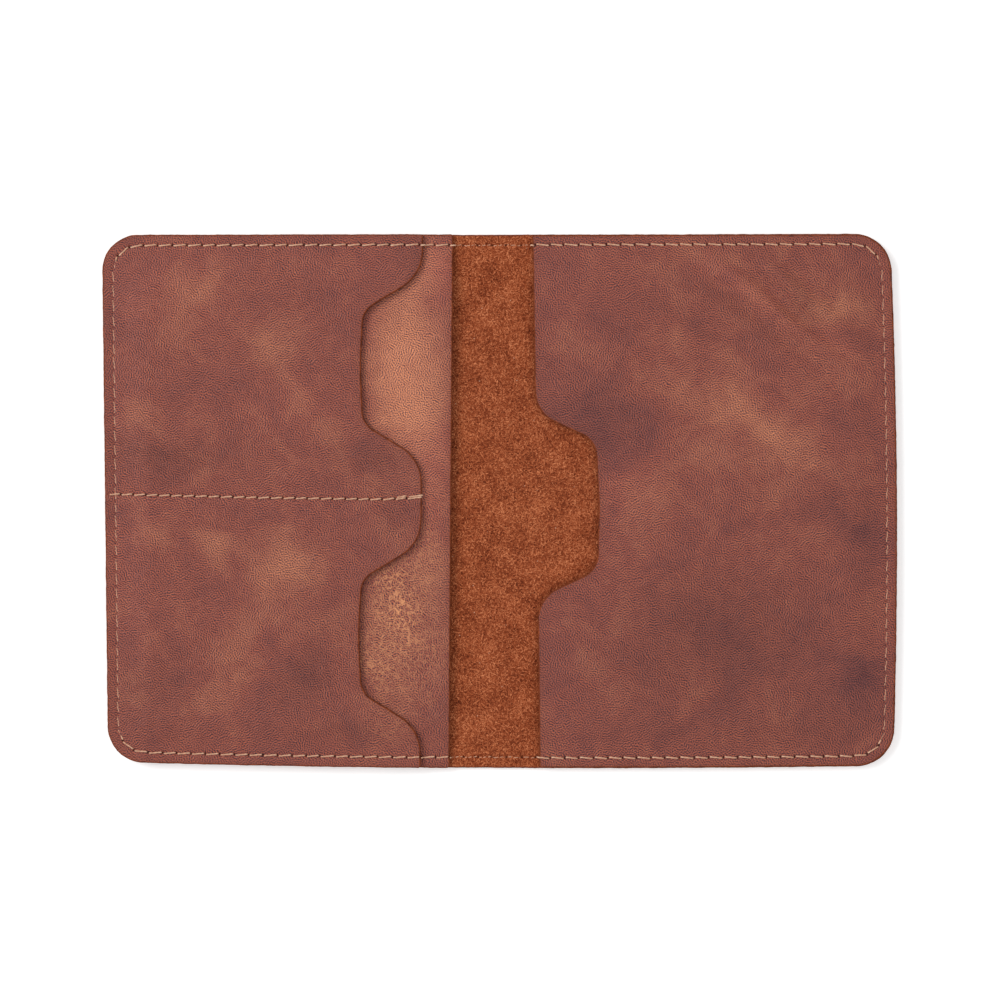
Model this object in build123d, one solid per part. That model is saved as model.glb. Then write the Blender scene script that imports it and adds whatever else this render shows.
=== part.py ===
"""Passport holder wallet in leather, lying open on its outer face with the pockets upwards.

Units are millimetres. +X runs from the card pockets to the passport flap, +Y along the spine and
+Z up out of the pockets. The origin is on the table, under the middle of the open wallet, so the
fold line is X = 0.

The cover is one sheet of leather. It bends only at the spine, so it is written as a narrow spine
strip with a flat half hinged to each side of it, along two lines in the cover's inner face.
"""
import os

from build123d import *

# Overall size, lying open.
OPEN_WIDTH = 208.0  # both covers and the spine
HEIGHT = 140.0  # along the spine
CORNER_R = 9.5
LEATHER = 1.2  # thickness of the cover and of every pocket panel

# Pockets. A panel is sewn flat along its hem and stands clear of what is under it inside the hem.
HEM = 5.0
HEM_CORNER_R = 4.5  # inside corner of the hem
RAMP = 3.0  # run of the slope from the hem up to the raised face
FACE_CORNER_R = 1.5
PASSPORT_SLOT = 1.0  # free height for a passport cover
CARD_SLOT = 1.0  # free height for a 0.76 card
SLEEVE_MOUTH = 12.7  # fold line to the open edge of the left passport sleeve
CARD_MOUTH = 20.5  # fold line to the open edge of the card panel
FLAP_MOUTH = 9.6  # fold line to the open edge of the right passport flap

# Thumb notches. Each is cut into an open edge, with slanted sides and a slightly bowed bottom.
NOTCH_DEPTH = 15.2
NOTCH_BOW = 0.7
NOTCH_BOW_R = 110.0
NOTCH_MOUTH = 48.4  # along the open edge, between the corners before rounding
CARD_NOTCH_BASE = 29.6
FLAP_NOTCH_BASE = 33.8
CARD_LIP_R = 11.0
FLAP_LIP_R = 9.0
NOTCH_BASE_R = 6.2
CARD_NOTCH_Y = 35.25  # middle of each card notch, above and below the divider
FLAP_NOTCH_Y = -1.2

# Seams. Each thread lies sunk in a groove, just under the surface of the leather.
THREAD = 0.45
SEAM_INSET = 2.8  # cut edge to the perimeter seam
GROOVE_WIDTH = 0.6
SINK = 0.03  # thread below the surface and above the groove's floor
THREAD_BEND_R = 0.3  # where a thread steps from one panel to the next
RISER_GAP = 0.08  # between a stepping thread and the panel's open edge
DIVIDER_Y = 0.9
DIVIDER_LAND = 1.0  # between the feet of the two card cells
DIVIDER_START_GAP = 0.8  # perimeter seam to the start of the divider threads
DIVIDER_BEND_R = 1.2  # where a divider thread climbs the sloping side

# Spine. Each half folds up by a quarter turn, and the empty pockets then stay this far apart.
CLOSED_CLEARANCE = 0.4

# Worked out from the values above.
HALF_WIDTH = OPEN_WIDTH / 2
HALF_HEIGHT = HEIGHT / 2
LEFT_STACK = 2 * LEATHER + PASSPORT_SLOT + CARD_SLOT
RIGHT_STACK = LEATHER + PASSPORT_SLOT
SPINE_WIDTH = LEFT_STACK + RIGHT_STACK + CLOSED_CLEARANCE
HALF_SPINE = SPINE_WIDTH / 2
GROOVE_DEPTH = THREAD + 2 * SINK
THREAD_DEPTH = THREAD / 2 + SINK  # surface to the thread's centre
SEAM_X = HALF_WIDTH - SEAM_INSET
SEAM_Y = HALF_HEIGHT - SEAM_INSET
SEAM_CORNER_R = CORNER_R - SEAM_INSET
COVER_TOP = LEATHER
HEM_1_TOP = 2 * LEATHER  # hem of the sleeve and of the flap
HEM_2_TOP = 3 * LEATHER  # hem of the card panel
SLEEVE_TOP = HEM_1_TOP + PASSPORT_SLOT
PAST = 10.0  # how far a cutting shape runs past what it cuts


def slab(face, low, high):
    """A flat plate of that plan between two heights."""
    return extrude(Pos(0, 0, low) * face, high - low)


def span(x_from, x_to, y_from=-HALF_HEIGHT - PAST, y_to=HALF_HEIGHT + PAST):
    """A plain rectangle in plan."""
    middle = Pos((x_from + x_to) / 2, (y_from + y_to) / 2)
    return middle * Rectangle(abs(x_to - x_from), abs(y_to - y_from))


def round_span(x_from, x_to, y_from, y_to, radius):
    """A rectangle in plan with rounded corners."""
    middle = Pos((x_from + x_to) / 2, (y_from + y_to) / 2)
    return middle * RectangleRounded(abs(x_to - x_from), abs(y_to - y_from), radius)


def wallet_outline():
    return RectangleRounded(OPEN_WIDTH, HEIGHT, CORNER_R)


def seam_band():
    """The perimeter seam's groove in plan."""
    rings = []
    for inset in (SEAM_INSET - GROOVE_WIDTH / 2, SEAM_INSET + GROOVE_WIDTH / 2):
        rings.append(RectangleRounded(OPEN_WIDTH - 2 * inset, HEIGHT - 2 * inset, CORNER_R - inset))
    return rings[0] - rings[1]


def beyond_mouth(mouth, side, notch_middles, base, lip_r):
    """What is cut away at a panel's open edge, in plan: the far side of the edge and its notches.

    side is +1 for a panel that lies to the right of its open edge, and -1 to the left.
    """
    edge = side * mouth
    floor = edge + side * NOTCH_DEPTH
    points = [(edge, -HALF_HEIGHT - PAST)]
    radii = []
    for middle in notch_middles:
        points += [
            (edge, middle - NOTCH_MOUTH / 2),
            (floor, middle - base / 2),
            (floor + side * NOTCH_BOW, middle),
            (floor, middle + base / 2),
            (edge, middle + NOTCH_MOUTH / 2),
        ]
        radii += [lip_r, NOTCH_BASE_R, NOTCH_BOW_R, NOTCH_BASE_R, lip_r]
    points.append((edge, HALF_HEIGHT + PAST))
    front = FilletPolyline(*points, radius=radii)
    far = -side * HALF_WIDTH
    back = Polyline(points[-1], (far, points[-1][1]), (far, points[0][1]), points[0])
    return make_face(front.edges() + back.edges())


def mound(foot, head, low, rise):
    """A low block with sloping sides, from its foot's plan to its head's plan."""
    return loft([Pos(0, 0, low) * foot, Pos(0, 0, low + rise) * head], ruled=True)


def pocket_plan(side, inset, radius, y_from=-HALF_HEIGHT, y_to=HALF_HEIGHT):
    """A pocket's plan, inset from the cut edges. It runs past the fold line, as the mouth is open."""
    outer = side * (HALF_WIDTH - inset)
    return round_span(outer, -side * PAST, y_from + inset, y_to - inset, radius)


def raised_slot(side, low):
    """The raised shape over one passport slot."""
    foot = pocket_plan(side, HEM, HEM_CORNER_R)
    head = pocket_plan(side, HEM + RAMP, FACE_CORNER_R)
    return mound(foot, head, low, PASSPORT_SLOT)


def card_cell_plans(inset, radius):
    """The two card cells in plan, above and below the divider."""
    over = HEM - DIVIDER_LAND / 2  # an inset of HEM then starts half a land from the divider
    upper = pocket_plan(-1, inset, radius, y_from=DIVIDER_Y - over)
    lower = pocket_plan(-1, inset, radius, y_to=DIVIDER_Y + over)
    return [upper, lower]


def raised_cards(low):
    """The raised shape over the sleeve and, higher, over the two card slots."""
    shape = raised_slot(-1, low)
    feet = card_cell_plans(HEM, HEM_CORNER_R)
    heads = card_cell_plans(HEM + RAMP, FACE_CORNER_R)
    for foot, head in zip(feet, heads):
        shape += mound(foot, head, low, PASSPORT_SLOT + CARD_SLOT)
    return shape


def split_by(panel, plans):
    """One panel as its hem and its raised faces: solids that meet edge to edge.

    The pocket under the face then stays free in a model made of one hull or a few for each solid.
    """
    faces = [panel & slab(plan, 0, LEFT_STACK + PAST) for plan in plans]
    hem = panel
    for plan in plans:
        hem -= slab(plan, 0, LEFT_STACK + PAST)
    return hem.solids() + [s for face in faces for s in face.solids()]


def cover_half(side):
    """One flat half of the cover, from the spine to its rounded outer corners."""
    plan = wallet_outline() & span(side * HALF_SPINE, side * (HALF_WIDTH + PAST))
    half = slab(plan, 0, COVER_TOP)
    mouth = side * (FLAP_MOUTH if side > 0 else SLEEVE_MOUTH)
    half -= slab(seam_band(), 0, GROOVE_DEPTH)
    half -= slab(seam_band() & span(0, mouth), COVER_TOP - GROOVE_DEPTH, COVER_TOP)
    return half.solids()


def cover_spine():
    """The narrow strip of the cover between the two fold lines."""
    strip = slab(span(-HALF_SPINE, HALF_SPINE, -HALF_HEIGHT, HALF_HEIGHT), 0, COVER_TOP)
    strip -= slab(seam_band(), 0, GROOVE_DEPTH)
    strip -= slab(seam_band(), COVER_TOP - GROOVE_DEPTH, COVER_TOP)
    return strip.solids()


def flap():
    """The right passport flap."""
    side = 1
    cut = beyond_mouth(FLAP_MOUTH, side, [FLAP_NOTCH_Y], FLAP_NOTCH_BASE, FLAP_LIP_R)
    plan = wallet_outline() - cut
    panel = slab(wallet_outline(), COVER_TOP, HEM_1_TOP) + raised_slot(side, HEM_1_TOP)
    panel -= raised_slot(side, COVER_TOP)
    panel &= slab(plan, COVER_TOP, SLEEVE_TOP + PAST)
    panel -= slab(seam_band(), HEM_1_TOP - GROOVE_DEPTH, HEM_1_TOP)
    return split_by(panel, [pocket_plan(side, HEM + RAMP, FACE_CORNER_R)])


def sleeve():
    """The left passport sleeve, which lies under the card panel."""
    plan = wallet_outline() & span(-HALF_WIDTH - PAST, -SLEEVE_MOUTH)
    panel = slab(wallet_outline(), COVER_TOP, HEM_1_TOP) + raised_slot(-1, HEM_1_TOP)
    panel -= raised_slot(-1, COVER_TOP)
    panel &= slab(plan, COVER_TOP, SLEEVE_TOP + PAST)
    bare_hem = seam_band() & span(-CARD_MOUTH, -SLEEVE_MOUTH)
    panel -= slab(bare_hem, HEM_1_TOP - GROOVE_DEPTH, HEM_1_TOP)
    panel -= divider_groove(COVER_TOP, COVER_TOP + GROOVE_DEPTH)
    return split_by(panel, [pocket_plan(-1, HEM + RAMP, FACE_CORNER_R)])


def card_panel():
    """The card panel, with a notch for each of its two pockets."""
    middles = [-CARD_NOTCH_Y, CARD_NOTCH_Y]
    cut = beyond_mouth(CARD_MOUTH, -1, middles, CARD_NOTCH_BASE, CARD_LIP_R)
    plan = wallet_outline() - cut
    panel = slab(wallet_outline(), HEM_1_TOP, HEM_2_TOP) + raised_cards(HEM_2_TOP)
    panel -= raised_cards(HEM_1_TOP)
    panel &= slab(plan, HEM_1_TOP, HEM_2_TOP + LEFT_STACK)
    panel -= slab(seam_band(), HEM_2_TOP - GROOVE_DEPTH, HEM_2_TOP)
    panel -= divider_groove(HEM_2_TOP - GROOVE_DEPTH, HEM_2_TOP)
    return split_by(panel, card_cell_plans(HEM + RAMP, FACE_CORNER_R))


def tube(path):
    """A thread along a path."""
    return sweep(Plane(origin=path @ 0, z_dir=path % 0) * Circle(THREAD / 2), path=path).solids()


def half_seam(side, steps):
    """A thread round one half of the perimeter seam, from spine to spine.

    steps gives the thread's height at the spine and then each (X, height) where it steps up.
    """
    height = steps[0]
    run = [(side * HALF_SPINE, SEAM_Y, height)]
    for x, higher in steps[1:]:
        foot = side * (x - RISER_GAP - THREAD / 2)
        run += [(foot, SEAM_Y, height), (foot, SEAM_Y, higher)]
        height = higher
    run.append((side * SEAM_X, SEAM_Y, height))
    points = run + [(x, -y, z) for x, y, z in reversed(run)]
    small = [THREAD_BEND_R] * (len(run) - 2)
    path = FilletPolyline(*points, radius=small + [SEAM_CORNER_R] * 2 + small)
    return tube(path)


def spine_thread(height):
    """The two short runs of a perimeter thread that cross the spine."""
    runs = []
    for y in (SEAM_Y, -SEAM_Y):
        runs += tube(Line((-HALF_SPINE, y, height), (HALF_SPINE, y, height)))
    return runs


def divider_route(height, start, end):
    """The divider's line from the hem, up the sloping side and along to the card mouth."""
    foot = -(HALF_WIDTH - HEM)
    head = foot + RAMP
    raised = height + PASSPORT_SLOT
    return [(start, height), (foot, height), (head, raised), (end, raised)]


def divider_groove(low, high):
    """The divider seam's groove between two heights above the hem."""
    start = -SEAM_X + DIVIDER_START_GAP - SINK
    end = -CARD_MOUTH + PAST
    ring = divider_route(low, start, end) + divider_route(high, start, end)[::-1]
    side = make_face(Plane.XZ * Polyline(*ring, close=True))
    half = GROOVE_WIDTH / 2
    return Pos(0, DIVIDER_Y, 0) * extrude(side, half, both=True)


def divider_thread(height):
    """One of the divider's threads, from beside the perimeter seam to the card mouth."""
    route = divider_route(height, -SEAM_X + DIVIDER_START_GAP, -CARD_MOUTH)
    points = [(x, DIVIDER_Y, z) for x, z in route]
    return tube(FilletPolyline(*points, radius=DIVIDER_BEND_R))


def parts():
    """Every node's name and its solids."""
    bobbin = THREAD_DEPTH
    needle = COVER_TOP - THREAD_DEPTH
    return {
        "cover_right_half": cover_half(1),
        "cover_left_half": cover_half(-1),
        "cover_spine": cover_spine(),
        "passport_flap": flap(),
        "passport_sleeve": sleeve(),
        "card_panel": card_panel(),
        "edge_needle_thread_right": half_seam(1, [needle, (FLAP_MOUTH, HEM_1_TOP - THREAD_DEPTH)]),
        "edge_needle_thread_left": half_seam(
            -1,
            [
                needle,
                (SLEEVE_MOUTH, HEM_1_TOP - THREAD_DEPTH),
                (CARD_MOUTH, HEM_2_TOP - THREAD_DEPTH),
            ],
        ),
        "edge_bobbin_thread_right": half_seam(1, [bobbin]),
        "edge_bobbin_thread_left": half_seam(-1, [bobbin]),
        "edge_needle_thread_spine": spine_thread(needle),
        "edge_bobbin_thread_spine": spine_thread(bobbin),
        "divider_needle_thread": divider_thread(HEM_2_TOP - THREAD_DEPTH),
        "divider_bobbin_thread": divider_thread(COVER_TOP + THREAD_DEPTH),
    }


os.makedirs("parts", exist_ok=True)
for name, solids in parts().items():
    export_step(Compound(label=name, children=list(solids)), f"parts/{name}.step")
print(f"fold lines at X = {-HALF_SPINE:.3f} and {HALF_SPINE:.3f}, Z = {COVER_TOP:.3f}")
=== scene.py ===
"""Passport holder wallet: hide, suede, cut edges and stitching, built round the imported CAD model.

The helpers work in millimetres and turn to metres only where a mesh is made. +X runs from the card
pockets to the passport flap, +Y along the spine and +Z up out of the pockets.
"""
import math

import bpy
import numpy as np
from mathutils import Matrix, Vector
from mathutils.geometry import delaunay_2d_cdt
from mathutils.kdtree import KDTree


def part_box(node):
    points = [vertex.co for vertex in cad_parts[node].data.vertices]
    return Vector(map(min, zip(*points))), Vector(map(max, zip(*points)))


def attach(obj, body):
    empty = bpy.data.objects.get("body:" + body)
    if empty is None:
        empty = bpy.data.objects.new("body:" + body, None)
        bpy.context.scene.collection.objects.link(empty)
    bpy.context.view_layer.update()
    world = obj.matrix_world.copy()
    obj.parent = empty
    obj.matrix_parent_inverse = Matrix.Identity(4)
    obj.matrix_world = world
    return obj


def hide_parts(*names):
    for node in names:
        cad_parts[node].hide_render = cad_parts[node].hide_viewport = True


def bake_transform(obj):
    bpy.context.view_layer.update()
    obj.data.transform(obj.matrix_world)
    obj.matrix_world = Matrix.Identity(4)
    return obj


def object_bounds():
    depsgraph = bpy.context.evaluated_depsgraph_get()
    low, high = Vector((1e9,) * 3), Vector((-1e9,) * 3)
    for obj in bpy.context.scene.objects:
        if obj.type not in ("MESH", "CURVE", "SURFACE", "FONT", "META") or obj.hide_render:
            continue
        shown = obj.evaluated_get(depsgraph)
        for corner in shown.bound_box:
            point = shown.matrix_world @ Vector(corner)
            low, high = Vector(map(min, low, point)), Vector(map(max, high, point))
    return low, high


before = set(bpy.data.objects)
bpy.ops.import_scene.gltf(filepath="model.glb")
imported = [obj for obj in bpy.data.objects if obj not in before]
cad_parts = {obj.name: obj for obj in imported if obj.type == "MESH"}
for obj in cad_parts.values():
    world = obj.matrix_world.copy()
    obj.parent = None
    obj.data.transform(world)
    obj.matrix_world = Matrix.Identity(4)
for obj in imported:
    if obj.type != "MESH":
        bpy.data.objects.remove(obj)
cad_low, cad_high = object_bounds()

MM = 0.001

# The wallet's own sizes in millimetres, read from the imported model. The thread's thickness, the
# corner's radius and the notches are the model's too.
HALF_WIDTH = cad_high.x / MM
HALF_HEIGHT = cad_high.y / MM
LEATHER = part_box("cover_spine")[1].z / MM
HALF_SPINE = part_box("cover_spine")[1].x / MM
SLEEVE_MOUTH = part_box("passport_sleeve")[1].x / MM
CARD_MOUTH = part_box("card_panel")[1].x / MM
FLAP_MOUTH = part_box("passport_flap")[0].x / MM
THREAD = 0.45
SEAM_X = -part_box("edge_bobbin_thread_left")[0].x / MM - THREAD / 2
SEAM_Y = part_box("edge_bobbin_thread_left")[1].y / MM - THREAD / 2
SEAM_INSET = HALF_WIDTH - SEAM_X
DIVIDER_Y = (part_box("divider_needle_thread")[0].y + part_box("divider_needle_thread")[1].y) / 2 / MM
CORNER_R = 9.5

# The inner face of the cover, and the top of one and of two pocket panels sewn flat on it.
COVER_TOP = LEATHER
HEM_1_TOP = 2 * LEATHER
HEM_2_TOP = 3 * LEATHER

# Thumb notches: middle along Y, depth, width of the base, width at the open edge.
CARD_NOTCHES = [(-35.5, 15.7, 29.6, 48.4), (35.0, 15.5, 29.6, 48.4)]
FLAP_NOTCHES = [(-1.2, 15.6, 33.8, 48.4)]
CARD_LIP_R = 11.0
FLAP_LIP_R = 9.0
NOTCH_BASE_R = 6.2
NOTCH_BOW = 0.7
NOTCH_BOW_R = 110.0
MOUTH_CORNER_R = 0.7

# How far each hand-cut mouth slants: out at the top edge by this much, and back at the bottom.
SLEEVE_LEAN = 0.6
CARD_LEAN = 0.5
FLAP_LEAN = -0.9
FLAP_TRIM = 0.25  # the flap was cut this much short of the cover all round

# How an empty pocket lies: it stands a little clear of what is under it, inside the seam.
PASSPORT_LIFT = 0.9
CARD_LIFT = 0.2
RISE_START = 3.6  # from the cut edge
RISE_RUN = 9.0
CARD_EARLIER = 0.6  # the card panel starts to rise this much nearer the edge
DIVIDER_RUN = 6.0
SEWN_CORNER = 0.35  # the smaller, the rounder the rise goes through a sewn corner
POCKET_WAVES = [(0.10, 34.0, 5), (0.05, 15.0, 6)]  # height, length and seed of slow waves in the hide
CARD_WAVE = (0.08, 21.0, 8)

# Soft folds near the flap's top outer corner.
FOLD_PLACE = (74.0, 54.0)
FOLD_WAY = (0.777, -0.63)
FOLD_LENGTH = 24.0
FOLD_BAND = 11.0
FOLD_WANDER = (1.4, 12.0, 21)  # how far the folds stray, over what length, and the seed
BROAD_FOLD = (0.75, 8.5, 5.0)  # height, from one fold to the next, and shift
FINE_FOLD = (0.05, 3.9)

# Seams.
EDGE_PITCH = 3.8
DIVIDER_PITCH = 3.3
UNEVEN_PITCH = 0.035  # as a share of the pitch
DIVIDER_START = 0.9  # from the outer cut edge
DIVIDER_END = 0.5  # short of the card mouth
WRAP_STITCH = (0.9, 0.05)  # the divider's last stitch goes on over the mouth's edge
BACK_TACK = 7.5  # length of the doubled stitches at the card mouth
BACK_TACK_SHIFT = (0.3, 0.5)
NAP_SINK = 0.28  # the thread pulls deeper into bare suede
SIDE_SINK = 0.26  # and deeper down the two outer sides
SIDE_BAND = 1.0  # how far inside the seam line its sides still count
FURROW_DEPTH = 0.16
FURROW_WIDTH = 0.55
HOLE_R = 0.36
HOLE_DEPTH = 0.5
SIDE_HOLE_DEPTH = 0.15  # the holes down the sides have nearly closed
# painted shade of the holes down the sides, as a share of the others'
SIDE_HOLE_PAINTED_SHADE = 0.45

# Mesh spacing.
OUTLINE_STEP = 0.35
GRID = 1.0
ROW_GAP = 0.87  # as a share of GRID, which makes the triangles nearly even-sided
FOLD_GRID = 0.5
FOLD_ZONE = HALF_SPINE * 2 + 1
RIM_RINGS = [(0.34, 0.0), (0.16, 0.03), (0.05, 0.1), (0.0, 0.24)]  # inset and drop of a worn cut edge
SECOND_RING = 0.8
RIM_CLEAR = 1.25  # the even points keep this far off the cut edge
SEAM_CLEAR = 1.45  # and this far off a seam
SEAM_ROWS = (-1.1, -0.62, -0.31, 0.0, 0.31, 0.62, 1.1)
HOLE_RINGS = (0.45, 0.95, 1.5)  # as shares of the hole's radius
HOLE_CLEAR = 2.1
SEAM_RIM_CLEAR = 0.5


def smooth(t):
    """0 before 0, 1 after 1 and a soft step between."""
    t = np.clip(t, 0, 1)
    return t * t * (3 - 2 * t)


def cloud(x, y, size, seed):
    """Soft random hills from -1 to 1, about size millimetres across."""
    table = np.random.default_rng(seed).uniform(-1, 1, (64, 64))
    u, v = np.asarray(x) / size + 17.3, np.asarray(y) / size + 23.7
    column, row = np.floor(u).astype(int), np.floor(v).astype(int)
    fu, fv = smooth(u - column), smooth(v - row)

    def at(i, j):
        return table[(column + i) % 64, (row + j) % 64]

    low = at(0, 0) * (1 - fu) + at(1, 0) * fu
    high = at(0, 1) * (1 - fu) + at(1, 1) * fu
    return low * (1 - fv) + high * fv


BROAD_STRAY = (3.0, 11.0)  # how far a spot's outline strays, and over what length
FINE_STRAY = (1.2, 3.7)


def spots(x, y, places, seed):
    """Soft uneven spots. Each place is x, y, length, width, turn in degrees and strength."""
    (broad, broad_size), (fine, fine_size) = BROAD_STRAY, FINE_STRAY
    x = x + broad * cloud(x, y, broad_size, seed) + fine * cloud(x, y, fine_size, seed + 1)
    y = y + broad * cloud(x, y, broad_size, seed + 2) + fine * cloud(x, y, fine_size, seed + 3)
    total = np.zeros_like(x)
    for px, py, length, width, turn, strength in places:
        c, s = math.cos(math.radians(turn)), math.sin(math.radians(turn))
        along, across = (x - px) * c + (y - py) * s, (y - py) * c - (x - px) * s
        total += strength * np.exp(-((along / length) ** 2 + (across / width) ** 2))
    return total


def hand_cut(x, y):
    """The small drift, in millimetres, of a hand-cut outline from the true rectangle.

    Every layer shares it: the left edge slants, the right one bows and slants, the top climbs a
    little to the right and the bottom is hollow.
    """
    u, v = x / HALF_WIDTH, y / HALF_HEIGHT
    left = (0.4 - 0.8 * v) * np.clip(-u, 0, 1)
    right = (0.7 - 1.42 * v * v - 0.4 * v) * np.clip(u, 0, 1)
    top = 0.25 * u * np.clip(v, 0, 1)
    bottom = (1.2 * (u - 0.25) ** 2 - 0.5) * np.clip(-v, 0, 1)
    return x + left + right, y + top + bottom


def rounded(corners):
    """A closed outline with round corners. Each corner is x, y and radius, anticlockwise."""
    line = []
    for k, (x, y, radius) in enumerate(corners):
        here = np.array([x, y], float)
        if radius == 0:
            line.append(here)
            continue
        before = np.array(corners[k - 1][:2]) - here
        after = np.array(corners[(k + 1) % len(corners)][:2]) - here
        before /= np.linalg.norm(before)
        after /= np.linalg.norm(after)
        half = math.acos(np.clip(before @ after, -1, 1)) / 2
        bisector = before + after
        centre = here + bisector / np.linalg.norm(bisector) * radius / math.sin(half)
        start = here + before * radius / math.tan(half)
        end = here + after * radius / math.tan(half)
        turn = math.pi - 2 * half
        steps = max(2, math.ceil(radius * turn / OUTLINE_STEP))
        a, b = start - centre, end - centre
        for i in range(steps + 1):
            t = i / steps
            w = np.array([math.sin((1 - t) * turn), math.sin(t * turn)]) / math.sin(turn)
            line.append(centre + a * w[0] + b * w[1])
    even = []
    for a, b in zip(line, line[1:] + line[:1]):
        steps = max(1, round(np.linalg.norm(b - a) / OUTLINE_STEP))
        even += [a + (b - a) * i / steps for i in range(steps)]
    return np.array(even)


def respaced(line, step):
    """The same line with points evenly spaced."""
    along = np.concatenate([[0], np.cumsum(np.linalg.norm(np.diff(line, axis=0), axis=1))])
    count = max(2, round(along[-1] / step))
    at = np.linspace(0, along[-1], count + 1)
    return np.stack([np.interp(at, along, line[:, k]) for k in range(line.shape[1])], axis=1)


def mouth_corners(mouth, side, notches, lip_r, lean):
    """The open edge of a panel with its notches, from the bottom up. lean is how far it slants."""
    corners = []
    for middle, depth, base, width in notches:
        floor = mouth + side * depth
        corners += [
            (mouth, middle - width / 2, lip_r),
            (floor, middle - base / 2, NOTCH_BASE_R),
            (floor + side * NOTCH_BOW, middle, NOTCH_BOW_R),
            (floor, middle + base / 2, NOTCH_BASE_R),
            (mouth, middle + width / 2, lip_r),
        ]
    corners = [(mouth, -HALF_HEIGHT, MOUTH_CORNER_R), *corners, (mouth, HALF_HEIGHT, MOUTH_CORNER_R)]
    return [(x + lean * y / HALF_HEIGHT, y, r) for x, y, r in corners]


def panel_outline(mouth, side, notches=(), lip_r=0.0, lean=0.0, trim=0.0):
    """A panel from its open edge to the outer corners. trim is how much shorter it was cut."""
    opening = mouth_corners(mouth, side, notches, lip_r, lean)
    opening = [(x, max(-HALF_HEIGHT + trim, min(HALF_HEIGHT - trim, y)), r) for x, y, r in opening]
    outer = side * (HALF_WIDTH - trim)
    far = [(outer, y, CORNER_R) for y in (HALF_HEIGHT - trim, -HALF_HEIGHT + trim)]
    ring = opening + far
    return rounded(ring if side < 0 else ring[::-1])


def tree_of(points):
    """A search tree of points in the plane."""
    tree = KDTree(len(points))
    for k, p in enumerate(points):
        tree.insert((p[0], p[1], 0), k)
    tree.balance()
    return tree


def distance(x, y, tree):
    """How far each place is from the nearest point of a tree."""
    return np.array([tree.find((px, py, 0))[2] for px, py in zip(x, y)])


def inside(points, ring):
    """Which points lie inside a closed outline."""
    x, y = points[:, 0], points[:, 1]
    result = np.zeros(len(points), bool)
    a, b = ring, np.roll(ring, -1, axis=0)
    for (ax, ay), (bx, by) in zip(a, b):
        crosses = (ay > y) != (by > y)
        result ^= crosses & (x < (bx - ax) * (y - ay) / (by - ay + 1e-12) + ax)
    return result


def on_fold(x):
    """Whether a point lies on the middle line, where the cover's two halves meet."""
    return np.abs(x) < 1e-6


def inset(ring, amount):
    """A closed anticlockwise outline moved inwards."""
    along = np.roll(ring, -1, axis=0) - np.roll(ring, 1, axis=0)
    along /= np.linalg.norm(along, axis=1)[:, None]
    normal = np.stack([-along[:, 1], along[:, 0]], axis=1)
    # Where the cover's two halves meet, the outline stays on the middle line.
    fold = on_fold(ring[:, 0])
    end = fold & (np.abs(ring[:, 1]) > HALF_HEIGHT - OUTLINE_STEP / 2)
    normal[fold] = 0
    normal[end, 1] = -np.sign(ring[end, 1])
    return ring + normal * np.reshape(amount, (-1, 1))


# Seams ------------------------------------------------------------------------------------------


def seam_line(side):
    """Half of the perimeter seam, from the spine at the top to the spine at the bottom."""
    radius = CORNER_R - SEAM_INSET
    points = [np.array([0.0, SEAM_Y])]
    for sign_y, start in ((1, 90), (-1, 0)):
        centre = np.array([side * (SEAM_X - radius), sign_y * (SEAM_Y - radius)])
        for k in range(10):
            turn = math.radians(start - k * 10)
            points.append(centre + radius * np.array([side * math.cos(turn), math.sin(turn)]))
    points.append(np.array([0.0, -SEAM_Y]))
    return np.array(points)


def down_a_side(x):
    """Whether a point is on the stretch of seam down one of the wallet's outer sides."""
    return np.abs(x) > SEAM_X - SIDE_BAND


def needle_holes(line, pitch, seed, phase=0.5):
    """Hole positions along a seam, nearly one pitch apart. phase is where the first one falls."""
    length = np.linalg.norm(np.diff(line, axis=0), axis=1).sum()
    fine = respaced(line, 0.05)
    count = round(length / pitch)
    at = (np.arange(count) + phase) / count
    at += np.random.default_rng(seed).normal(0, UNEVEN_PITCH / count, count)
    index = np.clip((at * (len(fine) - 1)).round().astype(int), 0, len(fine) - 1)
    return fine[index]


# Heights ----------------------------------------------------------------------------------------


def sewn_distance(x, y):
    """How far a point is inside the three sewn sides of its half, with soft corners."""
    from_side = np.exp(-SEWN_CORNER * (HALF_WIDTH - np.abs(x)))
    from_end = np.exp(-SEWN_CORNER * (HALF_HEIGHT - np.abs(y)))
    return -np.log(from_side + from_end) / SEWN_CORNER


def pocket_rise(x, y):
    """0 along the sewn sides and 1 well inside them."""
    return smooth((sewn_distance(x, y) - RISE_START) / RISE_RUN)


def passport_rise(x, y):
    """How far the passport pockets stand up, with the slow waves of hand-cut hide."""
    waves = sum(height * cloud(x, y, size, seed) for height, size, seed in POCKET_WAVES)
    return pocket_rise(x, y) * (PASSPORT_LIFT + waves)


def card_rise(x, y):
    """How far the card pockets stand up from the sleeve. The divider seam holds them down."""
    height, size, seed = CARD_WAVE
    from_sides = sewn_distance(x, y) - RISE_START + CARD_EARLIER
    from_divider = np.abs(y - DIVIDER_Y) * RISE_RUN / DIVIDER_RUN
    up = smooth(np.minimum(from_sides, from_divider) / RISE_RUN)
    return up * (CARD_LIFT + height * cloud(x, y, size, seed))


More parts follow.
